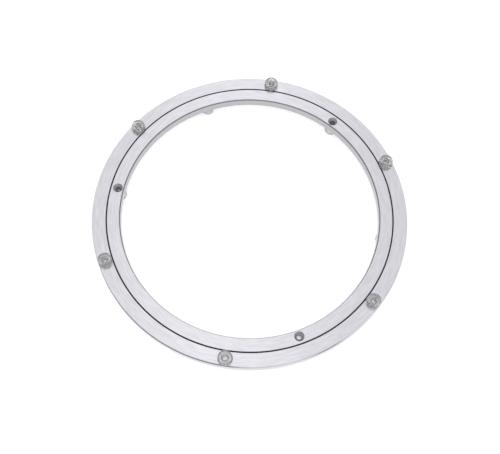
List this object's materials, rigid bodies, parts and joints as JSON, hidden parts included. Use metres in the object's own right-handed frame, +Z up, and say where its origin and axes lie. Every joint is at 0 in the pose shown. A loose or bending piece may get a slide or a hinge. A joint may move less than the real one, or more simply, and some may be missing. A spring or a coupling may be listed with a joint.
{
  "type": "lazy susan bearing",
  "caption": "Ring-shaped turntable bearing: flat concentric aluminium rings that turn on a hidden ball race, with clear soft pads on top and clear soft feet below.",
  "frame": {"origin": "on the bearing's axis, in the plane of the feet's undersides", "axes": "+Z up along the axis the rings turn about; +X and +Y across, with the first pad 22.9 degrees from +X"},
  "size_m": [0.3, 0.3, 0.0215],
  "materials": {
    "ring_aluminium": "fine circular brushing",
    "ball_steel": "polished",
    "cage_nylon": "as moulded",
    "clear_pad": "clear, soft, glossy"
  },
  "bodies": {
    "base": {"inner_ring": "ring_aluminium", "foot_1": "clear_pad", "foot_2": "clear_pad", "foot_3": "clear_pad", "foot_4": "clear_pad", "foot_5": "clear_pad", "foot_6": "clear_pad"},
    "turntable": {"outer_ring": "ring_aluminium", "top_pad_1": "clear_pad", "top_pad_2": "clear_pad", "top_pad_3": "clear_pad", "top_pad_4": "clear_pad", "top_pad_5": "clear_pad", "top_pad_6": "clear_pad"},
    "cage": {"ball_cage": "cage_nylon", "ball_01": "ball_steel", "ball_02": "ball_steel", "ball_03": "ball_steel", "ball_04": "ball_steel", "ball_05": "ball_steel", "ball_06": "ball_steel", "ball_07": "ball_steel", "ball_08": "ball_steel", "ball_09": "ball_steel", "ball_10": "ball_steel", "ball_11": "ball_steel", "ball_12": "ball_steel", "ball_13": "ball_steel", "ball_14": "ball_steel", "ball_15": "ball_steel", "ball_16": "ball_steel", "ball_17": "ball_steel", "ball_18": "ball_steel", "ball_19": "ball_steel", "ball_20": "ball_steel", "ball_21": "ball_steel", "ball_22": "ball_steel", "ball_23": "ball_steel", "ball_24": "ball_steel"}
  },
  "joints": [
    {"name": "turntable_spin", "type": "hinge", "parent": "base", "child": "turntable", "pos_m": [0, 0, 0.011], "axis": [0, 0, 1], "continuous": true},
    {"name": "cage_orbit", "type": "hinge", "parent": "base", "child": "cage", "pos_m": [0, 0, 0.011], "axis": [0, 0, 1], "continuous": true}
  ],
  "couplings": [
    {"joint": "cage_orbit", "follows": "turntable_spin", "ratio": 0.50874}
  ]
}
